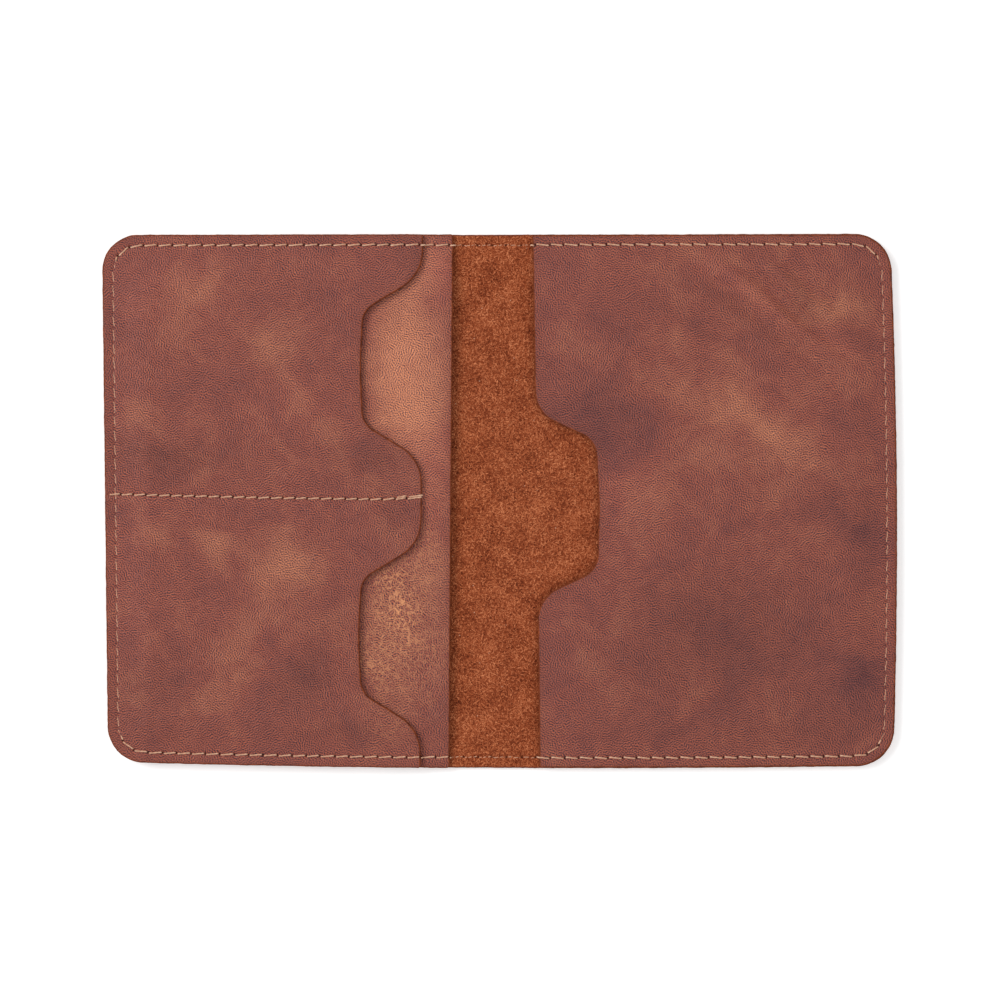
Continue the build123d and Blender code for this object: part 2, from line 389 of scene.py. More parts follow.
def flap_creases(x, y):
    """Soft diagonal folds near the flap's top outer corner, which fade out round their middle."""
    u, v = x - FOLD_PLACE[0], y - FOLD_PLACE[1]
    way_x, way_y = FOLD_WAY
    stray, stray_size, seed = FOLD_WANDER
    along = u * way_x + v * way_y
    across = v * way_x - u * way_y + stray * cloud(x, y, stray_size, seed)
    fade = np.exp(-((along / FOLD_LENGTH) ** 2 + (across / FOLD_BAND) ** 2))
    height, gap, shift = BROAD_FOLD
    fine_height, fine_gap = FINE_FOLD
    broad = height * np.cos((across + shift) * 2 * math.pi / gap)
    return fade * (broad + fine_height * np.cos(across * 2 * math.pi / fine_gap))


def sleeve_top(x, y):
    return HEM_1_TOP + passport_rise(x, y)


def card_top(x, y):
    return HEM_2_TOP + passport_rise(x, y) + card_rise(x, y)


def flap_top(x, y):
    return HEM_1_TOP + passport_rise(x, y) + pocket_rise(x, y) * flap_creases(x, y)


def cover_top(x, y):
    return COVER_TOP + 0 * x


def ground(x, y):
    return 0 * x


# Panels -----------------------------------------------------------------------------------------


def clear_of(points, others, gap):
    """The points that are further than a gap from all the others."""
    return points[distance(points[:, 0], points[:, 1], tree_of(others)) > gap]


def grid_points(ring, lines):
    """Even points inside an outline, closer in the fold and clear of the rim and the seams."""
    low, high = ring.min(0), ring.max(0)
    rows = []
    for k, y in enumerate(np.arange(low[1], high[1], GRID * ROW_GAP)):
        xs = np.arange(low[0] - (k % 2) * GRID / 2, high[0], GRID)
        fold = np.arange(-FOLD_ZONE, FOLD_ZONE, FOLD_GRID) + (k % 2) * FOLD_GRID / 2
        xs = np.concatenate([xs[np.abs(xs) > FOLD_ZONE], fold[(fold > low[0]) & (fold < high[0])]])
        rows.append(np.stack([xs, np.full(len(xs), y)], axis=1))
    points = np.vstack(rows)
    points = clear_of(points[inside(points, ring)], ring, RIM_CLEAR)
    for line in lines:
        points = clear_of(points, respaced(line, 0.4), SEAM_CLEAR)
    return points


def seam_rows(line, ring):
    """Rows of points along a seam, close enough to hold its furrow."""
    fine = respaced(line, 0.5)
    along = np.gradient(fine, axis=0)
    along /= np.linalg.norm(along, axis=1)[:, None]
    normal = np.stack([-along[:, 1], along[:, 0]], axis=1)
    points = np.vstack([fine + normal * off for off in SEAM_ROWS])
    return clear_of(points[inside(points, ring)], ring, SEAM_RIM_CLEAR)


def hole_rings(holes, ring):
    """Points round each needle hole."""
    turns = np.radians(np.arange(8) * 45.0)
    circle = np.stack([np.cos(turns), np.sin(turns)], axis=1)
    points = [holes]
    for share in HOLE_RINGS:
        points += [hole + circle * (HOLE_R * share) for hole in holes]
    points = np.vstack(points)
    return clear_of(points[inside(points, ring)], ring, SEAM_RIM_CLEAR)


def filled(ring, points):
    """Triangles over a closed outline through the given inner points."""
    every = np.vstack([ring, points])
    edges = [(k, (k + 1) % len(ring)) for k in range(len(ring))]
    made = delaunay_2d_cdt([Vector(p) for p in every], edges, [], 1, 1e-5)
    source = np.array([ids[0] for ids in made[3]])
    faces = [source[list(face)] for face in made[2]]
    used = np.unique(np.concatenate([np.arange(len(ring)), *faces]))
    renumbered = np.zeros(len(every), int)
    renumbered[used] = np.arange(len(used))
    return every[used], [renumbered[face].tolist() for face in faces]


KNIFE_WAVE = (0.05, 2.3)  # depth and length
FIBRE_WAVE = (0.045, 0.8)
BESIDE = 300.0  # the rim is laid out this far along, clear of the faces
RIM_RING_GAP = 0.25
CUT_EDGE_REACH = 0.9  # how far the cut edge's colour reaches into the face: worn in, and partly painted shade along the edge


def frayed(ring, seed):
    """A cut outline with the small unevenness of a knife and of fibres."""
    along = np.arange(len(ring)) * OUTLINE_STEP
    knife = KNIFE_WAVE[0] * cloud(along, 0 * along, KNIFE_WAVE[1], seed)
    fibre = FIBRE_WAVE[0] * cloud(along, 0 * along, FIBRE_WAVE[1], seed + 1)
    off_fold = smooth(np.abs(ring[:, 0]) / 1.5)
    return inset(ring, (knife + fibre) * off_fold)


def face_of(ring, holes, lines):
    """A piece's face laid flat: its points, of which the first are the inner ring, and triangles."""
    second_ring = inset(ring, SECOND_RING)[::2]
    rows = [clear_of(seam_rows(line, ring), holes, HOLE_R * HOLE_CLEAR) for line in lines]
    points = np.vstack([second_ring, grid_points(ring, lines), *rows, hole_rings(holes, ring)])
    return filled(inset(ring, RIM_RINGS[0][0]), points)


def pressed(x, y, holes, lines):
    """How far the seams press the leather in, and how strong the painted shade of a needle hole is."""
    in_hole = np.exp(-((distance(x, y, tree_of(holes)) / HOLE_R) ** 2))
    seam_points = np.vstack([respaced(line, 0.1) for line in lines])
    in_furrow = np.exp(-((distance(x, y, tree_of(seam_points)) / FURROW_WIDTH) ** 2))
    depth = np.where(down_a_side(x), SIDE_HOLE_DEPTH, HOLE_DEPTH)
    dark = np.where(down_a_side(x), SIDE_HOLE_PAINTED_SHADE, 1.0)
    return FURROW_DEPTH * in_furrow + depth * in_hole, dark * in_hole


def rim_of(ring, top, under):
    """The worn rim as rings of points, from the top face round to the under face."""
    rings = []
    for step, drop in RIM_RINGS[1:]:
        x, y = inset(ring, step).T
        rings.append(np.stack([x, y, top(x, y) - drop], 1))
    for step, drop in RIM_RINGS[:0:-1]:
        x, y = inset(ring, step).T
        rings.append(np.stack([x, y, under(x, y) + drop], 1))
    return rings


def lay_out(mesh, co, ring, rows, face_loops):
    """Texture places in millimetres: the faces as cut, and the rim unrolled beside them."""
    along = np.concatenate([[0], np.cumsum(np.linalg.norm(np.diff(ring, axis=0), axis=1))])
    unrolled = np.zeros((len(co), 2))
    for k, row in enumerate(rows):
        unrolled[row, 0] = along + BESIDE
        unrolled[row, 1] = (k - 1) * RIM_RING_GAP
    loops = np.zeros(len(mesh.loops), int)
    mesh.loops.foreach_get("vertex_index", loops)
    uv = co[loops, :2]
    uv[face_loops:] = unrolled[loops[face_loops:]]
    mesh.uv_layers.new(name="hide_mm").data.foreach_set("uv", uv.ravel())


def sharpen_fold(mesh, co):
    """Marks the edges where the cover's two halves meet, so that neither rounds its shading off."""
    ends = np.zeros(len(mesh.edges) * 2, int)
    mesh.edges.foreach_get("vertices", ends)
    sharp = on_fold(co[ends, 0]).reshape(-1, 2).all(1)
    mesh.attributes.new("sharp_edge", "BOOLEAN", "EDGE").data.foreach_set("value", sharp)


def hide_piece(name, ring, top, under, materials, holes, lines, tones, seed, furrow=(1, 0)):
    """One cut piece of leather as a closed mesh: a top face, an under face and a raw rim.

    materials are top, under and rim. furrow says how much the seam sinks the top and the under face.
    """
    ring = frayed(ring, seed)
    flat, faces = face_of(ring, holes, lines)
    x, y = flat.T
    sink, hole_painted_shade = pressed(x, y, holes, lines)
    z_top = top(x, y) - furrow[0] * sink
    z_low = under(x, y) + furrow[1] * sink
    rings = rim_of(ring, top, under)
    co = np.vstack([np.stack([x, y, z_top], 1), np.stack([x, y, z_low], 1), *rings])

    count, rim = len(flat), len(ring)
    firsts = [0, *(2 * count + k * rim for k in range(len(rings))), count]
    rows = [list(range(first, first + rim)) for first in firsts]
    quads = []
    for upper, lower in zip(rows, rows[1:]):
        for k in range(rim):
            n = (k + 1) % rim
            quads.append([upper[k], lower[k], lower[n], upper[n]])
    low_faces = [[count + v for v in face[::-1]] for face in faces]

    mesh = bpy.data.meshes.new(name)
    mesh.from_pydata((co * MM).tolist(), [], faces + low_faces + quads)
    kinds = [0] * len(faces) + [1] * len(low_faces) + [2] * len(quads)
    mesh.polygons.foreach_set("material_index", kinds)
    mesh.polygons.foreach_set("use_smooth", [True] * len(kinds))
    for material in materials:
        mesh.materials.append(material)
    sharpen_fold(mesh, co)
    lay_out(mesh, co, ring, rows, 2 * sum(len(face) for face in faces))

    marks = {
        # painted shade in the needle holes, darker than their small dimples would shade
        "needle_hole_painted_shade": np.concatenate([hole_painted_shade, hole_painted_shade, np.zeros(len(co) - 2 * count)]),
        # the cut edge's colour worn into the face, partly painted shade along the edge
        "cut_edge": np.exp(-distance(co[:, 0], co[:, 1], tree_of(ring)) / CUT_EDGE_REACH),
    }
    for label, (places, spot_seed) in tones.items():
        marks[label] = spots(co[:, 0], co[:, 1], places, spot_seed)
    for label, values in marks.items():
        attribute = mesh.attributes.new(label, "FLOAT", "POINT")
        attribute.data.foreach_set("value", values.astype(np.float32))
    return placed(mesh, name)


def placed(mesh, name):
    """A mesh with the hand-cut drift added, as an object in the scene."""
    co = np.zeros(len(mesh.vertices) * 3, np.float32)
    mesh.vertices.foreach_get("co", co)
    co = co.reshape(-1, 3)
    x, y = hand_cut(co[:, 0] / MM, co[:, 1] / MM)
    co[:, 0], co[:, 1] = x * MM, y * MM
    mesh.vertices.foreach_set("co", co.ravel())
    mesh.update()
    piece = bpy.data.objects.new(name, mesh)
    bpy.context.scene.collection.objects.link(piece)
    return piece


# Stitches ---------------------------------------------------------------------------------------

PLY_COUNT = 3
PLY_SWELL = 0.16  # how far the three plies stand out of the thread, as a share of its radius
TWIST_LENGTH = 1.5
THREAD_FLATTENED = 0.85  # height of a pulled-down stitch, as a share of its width
STITCH_STEPS = 14
STITCH_SIDES = 12
STITCH_SLANT = 0.16
STITCH_INSET = 0.09  # the share of a stitch that is down in its hole, at each end
STITCH_REST = 0.45  # a stitch rests on the highest leather this far each way
STITCH_STAND = 0.30  # height of its middle line over the leather, as a share of its thickness
STITCH_DIVE = 0.5
DIVE_RUN = 0.62


def stitch_points(start, end, surface, up, slant):
    """The middle line of one stitch, out of one hole and into the next."""
    t = np.linspace(STITCH_INSET, 1 - STITCH_INSET, STITCH_STEPS)
    run = end - start
    length = np.linalg.norm(run)
    across = np.array([-run[1], run[0]]) / length
    plan = start + np.outer(t, run) + np.outer(slant * (0.5 - smooth(t)) * 2, across)
    near = [surface(*(plan + run / length * off).T) for off in (-STITCH_REST, 0.0, STITCH_REST)]
    base = np.max(near, axis=0) if up > 0 else np.min(near, axis=0)
    arch = np.minimum(1.0, np.minimum(t, 1 - t) * length / DIVE_RUN)
    height = base + up * (THREAD * STITCH_STAND - (1 - smooth(arch)) * STITCH_DIVE)
    return np.column_stack([plan, height])


def thread_piece(name, runs, material, seed):
    """All the stitches of one thread as twisted closed tubes."""
    rng = np.random.default_rng(seed)
    co, faces, uv = [], [], []
    for line in runs:
        along = np.gradient(line, axis=0)
        along /= np.linalg.norm(along, axis=1)[:, None]
        side = np.cross(along, [0, 0, 1])
        side /= np.linalg.norm(side, axis=1)[:, None]
        high = np.cross(side, along)
        gone = np.concatenate([[0], np.cumsum(np.linalg.norm(np.diff(line, axis=0), axis=1))])
        first = len(co)
        phase = rng.uniform(0, 2 * math.pi)
        for k, middle in enumerate(line):
            twist = 2 * math.pi * gone[k] / TWIST_LENGTH / PLY_COUNT
            for j in range(STITCH_SIDES):
                turn = 2 * math.pi * j / STITCH_SIDES
                lobe = math.cos(PLY_COUNT * (turn - twist) + phase)
                radius = THREAD / 2 * (1 - PLY_SWELL + PLY_SWELL * lobe)
                out = math.cos(turn) * side[k] + THREAD_FLATTENED * math.sin(turn) * high[k]
                co.append(middle + radius * out)
                uv.append((gone[k], turn / (2 * math.pi)))
        for k in range(len(line) - 1):
            here = first + k * STITCH_SIDES
            for j in range(STITCH_SIDES):
                a, b = here + j, here + (j + 1) % STITCH_SIDES
                faces.append([a, b, b + STITCH_SIDES, a + STITCH_SIDES])
        last = first + (len(line) - 1) * STITCH_SIDES
        faces.append([first + j for j in range(STITCH_SIDES)][::-1])
        faces.append([last + j for j in range(STITCH_SIDES)])
    mesh = bpy.data.meshes.new(name)
    mesh.from_pydata((np.array(co) * MM).tolist(), [], faces)
    mesh.polygons.foreach_set("use_smooth", [True] * len(faces))
    mesh.materials.append(material)
    layer = mesh.uv_layers.new(name="thread_mm")
    loops = np.zeros(len(mesh.loops), int)
    mesh.loops.foreach_get("vertex_index", loops)
    layer.data.foreach_set("uv", np.array(uv)[loops].ravel())
    return placed(mesh, name)


# Materials --------------------------------------------------------------------------------------


def linear(hex_colour):
    """An sRGB hex colour as linear red, green, blue and 1."""
    channels = [int(hex_colour[k : k + 2], 16) / 255 for k in (0, 2, 4)]
    return [c / 12.92 if c <= 0.04045 else ((c + 0.055) / 1.055) ** 2.4 for c in channels] + [1.0]


def add(tree, kind, into=(), stops=(), **settings):
    """Adds a node with its settings, and sets or links its inputs. stops are a ramp's colours."""
    made = tree.nodes.new("ShaderNode" + kind)
    for name, value in settings.items():
        setattr(made, name, value)
    for name, value in dict(into).items():
        if isinstance(value, bpy.types.NodeSocket):
            tree.links.new(value, made.inputs[name])
        else:
            made.inputs[name].default_value = value
    for k, (place, colour) in enumerate(stops):
        elements = made.color_ramp.elements
        element = elements[k] if k < 2 else elements.new(place)
        element.position = place
        element.color = linear(colour)
    return made


def new_material(name):
    """An empty material and its node tree."""
    material = bpy.data.materials.new(name)
    material.use_nodes = True
    tree = material.node_tree
    tree.nodes.clear()
    return material, tree


def finish_material(tree, shader):
    add(tree, "OutputMaterial", {"Surface": shader.outputs["BSDF"]})


# Pattern sizes of the hide, in millimetres.
WRINKLE_WIDTH = 0.6  # from one growth wrinkle to the next, a little coarser than life so that it shows
WRINKLE_LENGTH = 1.4
OUTER_COARSER = 1.15  # the cover is cut from a coarser part of the hide
PEBBLE_PATCH = 1.3
SWING = 24.0  # from one lie of the wrinkles to another
WANDER = 1.9
CRACK = 1.3  # between creases where the wax has cracked
CRACK_WANDER = 2.0
BLOTCH = 13.0  # a patch of drawn-back wax
MOTTLE = 3.2


def waxed_pull_up_hide(name, wrinkle_width, net_stops, pebble_stops, light_crease, lean, seed_shift):
    """Oiled and waxed cowhide, grain side.

    Waxes move away from where the hide is bent, so it is mottled from plum brown to orange tan. Its
    pebbles are dark and dry, and the fine net of creases between them is lighter and warmer.
    """
    material, tree = new_material(name)
    flat = add(tree, "UVMap", uv_map="hide_mm").outputs["UV"]
    place = add(tree, "VectorMath", {0: flat, 1: (seed_shift, seed_shift * 0.7, 0)},
                operation="ADD").outputs[0]
    stray = add(tree, "TexNoise", {"Vector": place, "Scale": 1 / WANDER, "Detail": 2.0}).outputs["Color"]
    stray = add(tree, "VectorMath", {0: stray, 1: (0.5, 0.5, 0.5)}, operation="SUBTRACT").outputs[0]
    bent = add(tree, "VectorMath", {0: stray, 1: (0.9, 0.9, 0), 2: place},
               operation="MULTIPLY_ADD").outputs[0]

    # Broad wax blotches and the finer mottling inside them.
    blotch = add(tree, "TexNoise", {"Vector": place, "Scale": 1 / BLOTCH, "Detail": 5.0, "Roughness": 0.62,
                                    "Distortion": 0.6}).outputs["Fac"]
    mottle = add(tree, "TexNoise", {"Vector": place, "Scale": 1 / MOTTLE, "Detail": 4.0,
                                    "Roughness": 0.6}).outputs["Fac"]
    tan = add(tree, "Attribute", attribute_name="tan").outputs["Fac"]
    # dark scales the colour spot by spot: darker wax, and on the sleeve and the flap also painted light and
    # shade.
    dark = add(tree, "Attribute", attribute_name="dark").outputs["Fac"]
    tone = add(tree, "Math", {0: blotch, 1: 0.8, 2: tan}, operation="MULTIPLY_ADD").outputs[0]
    tone = add(tree, "Math", {0: mottle, 1: 0.3, 2: tone}, operation="MULTIPLY_ADD").outputs[0]
    tone = add(tree, "MapRange", {"Value": tone, "From Min": 0.02, "From Max": 1.12}).outputs["Result"]

    # Grain: short growth wrinkles that swing from one way to another, and pebbles between them.
    swing = add(tree, "TexNoise", {"Vector": place, "Scale": 1 / SWING, "Detail": 1.0}).outputs["Fac"]
    turn = add(tree, "MapRange", {"Value": swing, "From Min": 0.35, "From Max": 0.65, "To Min": lean - 0.8,
                                  "To Max": lean + 0.8}).outputs["Result"]
    wrinkle = add(tree, "TexGabor", {"Vector": bent, "Scale": 1 / WRINKLE_LENGTH,
                                     "Frequency": WRINKLE_LENGTH / wrinkle_width, "Anisotropy": 0.45,
                                     "Orientation": turn}).outputs["Value"]
    wrinkle = add(tree, "MapRange", {"Value": wrinkle, "From Min": 0.36, "From Max": 0.64}).outputs["Result"]
    pebble = add(tree, "TexGabor", {"Vector": place, "Scale": 1 / PEBBLE_PATCH,
                                    "Frequency": PEBBLE_PATCH / wrinkle_width, "Anisotropy": 0.0,
                                    "Orientation": 0.0}).outputs["Value"]
    pebble = add(tree, "MapRange", {"Value": pebble, "From Min": 0.36, "From Max": 0.64}).outputs["Result"]
    grain = add(tree, "Math", {0: wrinkle, 1: 0.75, 2: -0.12}, operation="MULTIPLY_ADD").outputs[0]
    grain = add(tree, "Math", {0: pebble, 1: 0.5, 2: grain}, operation="MULTIPLY_ADD",
                use_clamp=True).outputs[0]

    # Handling creases, where the wax has cracked to a lighter line.
    crackle = add(tree, "TexNoise", {"Vector": place, "Scale": 1 / CRACK_WANDER,
                                     "Detail": 3.0}).outputs["Color"]
    crackle = add(tree, "VectorMath", {0: crackle, 1: (3.0, 3.0, 0), 2: place},
                  operation="MULTIPLY_ADD").outputs[0]
    crack = add(tree, "TexVoronoi", {"Vector": crackle, "Scale": 1 / CRACK},
                feature="DISTANCE_TO_EDGE").outputs["Distance"]
    crack = add(tree, "MapRange", {"Value": crack, "From Min": 0.1, "From Max": 0.0}).outputs["Result"]
    worn = add(tree, "Attribute", attribute_name="crackle").outputs["Fac"]
    crack = add(tree, "Math", {0: crack, 1: worn}, operation="MULTIPLY").outputs[0]

    # Colour: creases, pebbles and cracks, then darker wax with the sleeve's and flap's painted light and
    # shade, the cut edge's tint, which is partly painted shade, and the painted shade of the needle holes.
    net = add(tree, "ValToRGB", {"Fac": tone}, stops=net_stops).outputs["Color"]
    core = add(tree, "ValToRGB", {"Fac": tone}, stops=pebble_stops).outputs["Color"]
    colour = add(tree, "Mix", {"Factor": grain, 6: net, 7: core}, data_type="RGBA").outputs[2]
    crack_share = add(tree, "Math", {0: crack, 1: 0.9}, operation="MULTIPLY").outputs[0]
    colour = add(tree, "Mix", {"Factor": crack_share, 6: colour, 7: linear(light_crease)},
                 data_type="RGBA").outputs[2]
    wax_tone_and_painted_light = add(tree, "MapRange", {"Value": dark, "From Min": -1.0, "From Max": 1.0, "To Min": 1.35,
                                   "To Max": 0.65}).outputs["Result"]
    colour = add(tree, "VectorMath", {0: colour, "Scale": wax_tone_and_painted_light}, operation="SCALE").outputs[0]
    # Darker towards every cut edge: the cut edge's colour worn in, and partly painted shade along the edge.
    cut = add(tree, "Attribute", attribute_name="cut_edge").outputs["Fac"]
    cut = add(tree, "Math", {0: cut, 1: 0.5}, operation="MULTIPLY").outputs[0]
    colour = add(tree, "Mix", {"Factor": cut, 6: colour, 7: linear("783a24")}, data_type="RGBA").outputs[2]
    # Painted shade in the needle holes.
    hole = add(tree, "Attribute", attribute_name="needle_hole_painted_shade").outputs["Fac"]
    hole = add(tree, "MapRange", {"Value": hole, "From Min": 0.25, "From Max": 0.85,
                                  "To Max": 0.8}).outputs["Result"]
    colour = add(tree, "Mix", {"Factor": hole, 6: colour, 7: linear("3e1a10")}, data_type="RGBA").outputs[2]

    rough = add(tree, "MapRange", {"Value": grain, "To Min": 0.44, "To Max": 0.62}).outputs["Result"]
    height = add(tree, "Math", {0: crack, 1: 0.5, 2: grain}, operation="MULTIPLY_ADD").outputs[0]
    bump = add(tree, "Bump", {"Height": height, "Strength": 0.8, "Distance": 0.15 * MM}).outputs["Normal"]
    shader = add(tree, "BsdfPrincipled", {"Base Color": colour, "Roughness": rough, "Normal": bump,
                                          "IOR": 1.45, "Specular IOR Level": 0.4})
    finish_material(tree, shader)
    return material


NAP = 0.85  # length of one tuft of nap, longer than life so that it shows
NAP_WIDTH = 0.22
FINE_NAP = NAP * 0.62
NAP_WANDER = 1.4
FUZZ = 0.42  # between loose fibres
BRUSHED = 7.0  # across one stroke of the brush
DUST = 3.4  # between specks


def brushed_suede(name):
    """The flesh side of the same hide, brushed to a short nap: warm orange brown, deep and matt, with
    tufts lying every way and a few pale specks of dust."""
    material, tree = new_material(name)
    flat = add(tree, "UVMap", uv_map="hide_mm").outputs["UV"]
    stray = add(tree, "TexNoise", {"Vector": flat, "Scale": 1 / NAP_WANDER, "Detail": 2.0}).outputs["Color"]
    bent = add(tree, "VectorMath", {0: stray, 1: (0.8, 0.8, 0), 2: flat},
               operation="MULTIPLY_ADD").outputs[0]

    # Two layers of tufts. Each tuft is a stroke across its own cell, turned its own way.
    tufts = None
    for size, shift in ((NAP, 0.0), (FINE_NAP, 41.0)):
        moved = add(tree, "VectorMath", {0: bent, 1: (shift, shift, 0)}, operation="ADD").outputs[0]
        scaled = add(tree, "VectorMath", {0: moved, "Scale": 1 / size}, operation="SCALE").outputs[0]
        cell = add(tree, "TexVoronoi", {"Vector": scaled, "Scale": 1.0, "Randomness": 1.0})
        away = add(tree, "VectorMath", {0: scaled, 1: cell.outputs["Position"]},
                   operation="SUBTRACT").outputs[0]
        chance = add(tree, "SeparateColor", {"Color": cell.outputs["Color"]})
        turn = add(tree, "Math", {0: chance.outputs["Red"], 1: 2 * math.pi},
                   operation="MULTIPLY").outputs[0]
        lying = add(tree, "VectorRotate", {"Vector": away, "Angle": turn}, rotation_type="Z_AXIS").outputs[0]
        across = add(tree, "SeparateXYZ", {"Vector": lying}).outputs["Y"]
        across = add(tree, "Math", {0: across}, operation="ABSOLUTE").outputs[0]
        stroke = add(tree, "MapRange", {"Value": across, "From Min": 0.0, "From Max": NAP_WIDTH / size,
                                        "To Min": 1.0, "To Max": 0.0},
                     interpolation_type="SMOOTHSTEP").outputs["Result"]
        stroke = add(tree, "Math", {0: stroke, 1: chance.outputs["Green"]},
                     operation="MULTIPLY").outputs[0]
        tufts = stroke if tufts is None else add(tree, "Math", {0: stroke, 1: tufts},
                                                 operation="MAXIMUM").outputs[0]
    fuzz = add(tree, "TexNoise", {"Vector": bent, "Scale": 1 / FUZZ, "Detail": 3.0, "Roughness": 0.75,
                                  "Distortion": 1.2}).outputs["Fac"]
    brushed = add(tree, "TexNoise", {"Vector": flat, "Scale": 1 / BRUSHED, "Detail": 4.0,
                                     "Roughness": 0.6}).outputs["Fac"]
    tone = add(tree, "Math", {0: tufts, 1: 0.45, 2: -0.72}, operation="MULTIPLY_ADD").outputs[0]
    tone = add(tree, "Math", {0: fuzz, 1: 1.75, 2: tone}, operation="MULTIPLY_ADD").outputs[0]
    tone = add(tree, "Math", {0: brushed, 1: 0.55, 2: tone}, operation="MULTIPLY_ADD").outputs[0]
    colour = add(tree, "ValToRGB", {"Fac": tone}, stops=[
        (0.0, "2e0e06"), (1.0, "e08c60"), (0.3, "642812"), (0.55, "944626"),
        (0.8, "c06c44")]).outputs["Color"]
    dust = add(tree, "TexVoronoi", {"Vector": flat, "Scale": 1 / DUST}).outputs["Distance"]
    dust = add(tree, "MapRange", {"Value": dust, "From Min": 0.05, "From Max": 0.025}).outputs["Result"]
    colour = add(tree, "Mix", {"Factor": dust, 6: colour, 7: linear("d9a98c")}, data_type="RGBA").outputs[2]
    # Painted shade in the needle holes.
    hole = add(tree, "Attribute", attribute_name="needle_hole_painted_shade").outputs["Fac"]
    hole = add(tree, "MapRange", {"Value": hole, "From Min": 0.3, "From Max": 0.9,
                                  "To Max": 0.8}).outputs["Result"]
    colour = add(tree, "Mix", {"Factor": hole, 6: colour, 7: linear("3a170a")}, data_type="RGBA").outputs[2]
    height = add(tree, "Math", {0: fuzz, 1: 1.0, 2: tufts}, operation="MULTIPLY_ADD").outputs[0]
    bump = add(tree, "Bump", {"Height": height, "Strength": 0.7, "Distance": 0.16 * MM}).outputs["Normal"]
    rough = add(tree, "MapRange", {"Value": tufts, "To Min": 0.95, "To Max": 0.85}).outputs["Result"]
    shader = add(tree, "BsdfPrincipled", {"Base Color": colour, "Roughness": rough, "Normal": bump,
                                          "IOR": 1.45, "Specular IOR Level": 0.15, "Sheen Weight": 0.12,
                                          "Sheen Roughness": 0.5, "Sheen Tint": linear("e0a080")})
    finish_material(tree, shader)
    return material


FIBRE = 0.35
FIBRE_PATCH = 3.0


def raw_cut_edge(name):
    """The knife-cut rim of the hide, left unpainted: packed fibres, orange brown with dark gaps."""
    material, tree = new_material(name)
    flat = add(tree, "UVMap", uv_map="hide_mm").outputs["UV"]
    fibre = add(tree, "TexNoise", {"Vector": flat, "Scale": 1 / FIBRE, "Detail": 3.0,
                                   "Roughness": 0.7}).outputs["Fac"]
    patch = add(tree, "TexNoise", {"Vector": flat, "Scale": 1 / FIBRE_PATCH, "Detail": 2.0}).outputs["Fac"]
    tone = add(tree, "Math", {0: patch, 1: 0.7, 2: -0.35}, operation="MULTIPLY_ADD").outputs[0]
    tone = add(tree, "Math", {0: fibre, 1: 1.0, 2: tone}, operation="MULTIPLY_ADD").outputs[0]
    colour = add(tree, "ValToRGB", {"Fac": tone}, stops=[
        (0.25, "38140a"), (0.8, "a6552e"), (0.5, "743418")]).outputs["Color"]
    bump = add(tree, "Bump", {"Height": fibre, "Strength": 0.8, "Distance": 0.12 * MM}).outputs["Normal"]
    rough = add(tree, "MapRange", {"Value": fibre, "To Min": 0.75, "To Max": 0.95}).outputs["Result"]
    shader = add(tree, "BsdfPrincipled", {"Base Color": colour, "Roughness": rough, "Normal": bump,
                                          "IOR": 1.45, "Specular IOR Level": 0.25})
    finish_material(tree, shader)
    return material


STRAND = 0.5  # length of one streak along a ply
STRANDS_ROUND = 24.0
SOILED = 2.2


def twisted_polyester(name):
    """Bonded three-ply polyester sewing thread: sand coloured, with a dull shine along each ply and
    darker wax in the twist."""
    material, tree = new_material(name)
    flat = add(tree, "UVMap", uv_map="thread_mm").outputs["UV"]
    drawn = add(tree, "VectorMath", {0: flat, 1: (1 / STRAND, STRANDS_ROUND, 1)},
                operation="MULTIPLY").outputs[0]
    strand = add(tree, "TexNoise", {"Vector": drawn, "Scale": 1.0, "Detail": 2.0}).outputs["Fac"]
    soiled = add(tree, "TexNoise", {"Vector": flat, "Scale": 1 / SOILED, "Detail": 2.0}).outputs["Fac"]
    tone = add(tree, "Math", {0: strand, 1: 0.6}, operation="MULTIPLY").outputs[0]
    tone = add(tree, "Math", {0: soiled, 1: 0.6, 2: tone}, operation="MULTIPLY_ADD").outputs[0]
    colour = add(tree, "ValToRGB", {"Fac": tone}, stops=[
        (0.3, "8a5c46"), (0.85, "f6d0b2"), (0.55, "d09c7c")]).outputs["Color"]
    bump = add(tree, "Bump", {"Height": strand, "Strength": 0.5, "Distance": 0.03 * MM}).outputs["Normal"]
    rough = add(tree, "MapRange", {"Value": strand, "To Min": 0.5, "To Max": 0.7}).outputs["Result"]
    shader = add(tree, "BsdfPrincipled", {"Base Color": colour, "Roughness": rough, "Normal": bump,
                                          "IOR": 1.5, "Sheen Weight": 0.1})
    finish_material(tree, shader)
    return material


def studio_board(name):
    """Matt white board, lit a little from behind as a product table is."""
    material, tree = new_material(name)
    shader = add(tree, "BsdfPrincipled", {"Base Color": linear("fbfbfb"), "Roughness": 0.9,
                                          "Specular IOR Level": 0.1, "Emission Color": linear("ffffff"),
                                          "Emission Strength": 0.3})
    finish_material(tree, shader)
    return material


# Camera and light -------------------------------------------------------------------------------

VIEW_WIDTH = 262.7  # what the picture takes in at the height of AIM
LENS = 110.0
SENSOR = 36.0
AIM = (0.13, 0.13, 3.0)
FLOOR_GAP = 0.18  # the thread of the seam stands this proud of the outer face

# From here on in metres and watts.
CLIP_END = 20.0
FLOOR_REACH = 3.0
SKY_STRENGTH = 0.56
LAMPS = [  # name, place, size and power
    ("key", (-1.1, 0.5, 1.0), 0.8, 13.5),
    ("fill", (0.8, -0.3, 1.2), 1.0, 3.0),
]


